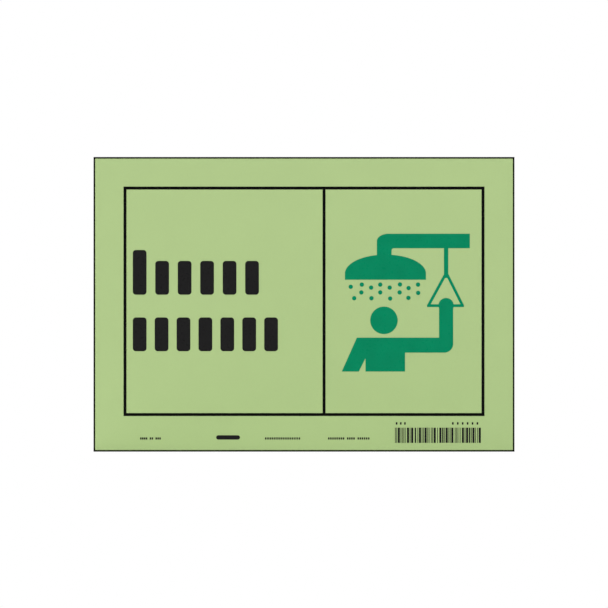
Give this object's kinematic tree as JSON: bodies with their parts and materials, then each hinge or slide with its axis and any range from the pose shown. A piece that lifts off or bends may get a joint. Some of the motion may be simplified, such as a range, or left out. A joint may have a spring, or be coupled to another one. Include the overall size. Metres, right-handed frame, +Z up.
{
  "type": "safety shower sign",
  "caption": "Flat stick-on safety sign in pale green glow film with a ruled frame, blank title blocks and a green shower symbol, and a peel-off liner on its back.",
  "frame": {"origin": "centre of the back face, on the back of the release liner", "axes": "+Z up, +X to the right of a person reading the sign, -Y out of the printed front, +Y out of the back"},
  "size_m": [0.254, 0.0018, 0.1778],
  "materials": {
    "glow_film": "satin photoluminescent film",
    "white_plastic": "satin, sawn edge",
    "black_ink": "satin screen ink",
    "green_ink": "satin screen ink",
    "adhesive": "tacky, smooth",
    "liner_paper": "kraft paper, glazed on the adhesive side"
  },
  "bodies": {
    "root": {"backing_panel": "white_plastic", "glow_film": "glow_film", "adhesive_sheet": "adhesive", "edge_keyline_print": "black_ink", "frame_print": "black_ink", "divider_print": "black_ink", "title_upper_print": "black_ink", "title_lower_print": "black_ink", "small_print_blocks": "black_ink", "blank_mark_print": "black_ink", "code_bars_print": "black_ink", "code_caption_blocks": "black_ink", "shower_head_print": "green_ink", "shower_pipe_print": "green_ink", "water_drops_print": "green_ink", "pull_rod_print": "green_ink", "pull_triangle_print": "green_ink", "person_head_print": "green_ink", "person_body_print": "green_ink", "raised_arm_print": "green_ink"},
    "liner_wide": {"release_liner_wide": "liner_paper"},
    "liner_narrow": {"release_liner_narrow": "liner_paper"}
  },
  "joints": [
    {"name": "wide_liner_peel", "type": "hinge", "parent": "root", "child": "liner_wide", "pos_m": [0.127, 0, 0], "axis": [0, 0, -1], "range_deg": [0, 105]},
    {"name": "narrow_liner_peel", "type": "hinge", "parent": "root", "child": "liner_narrow", "pos_m": [-0.127, 0, 0], "axis": [0, 0, 1], "range_deg": [0, 105]}
  ]
}
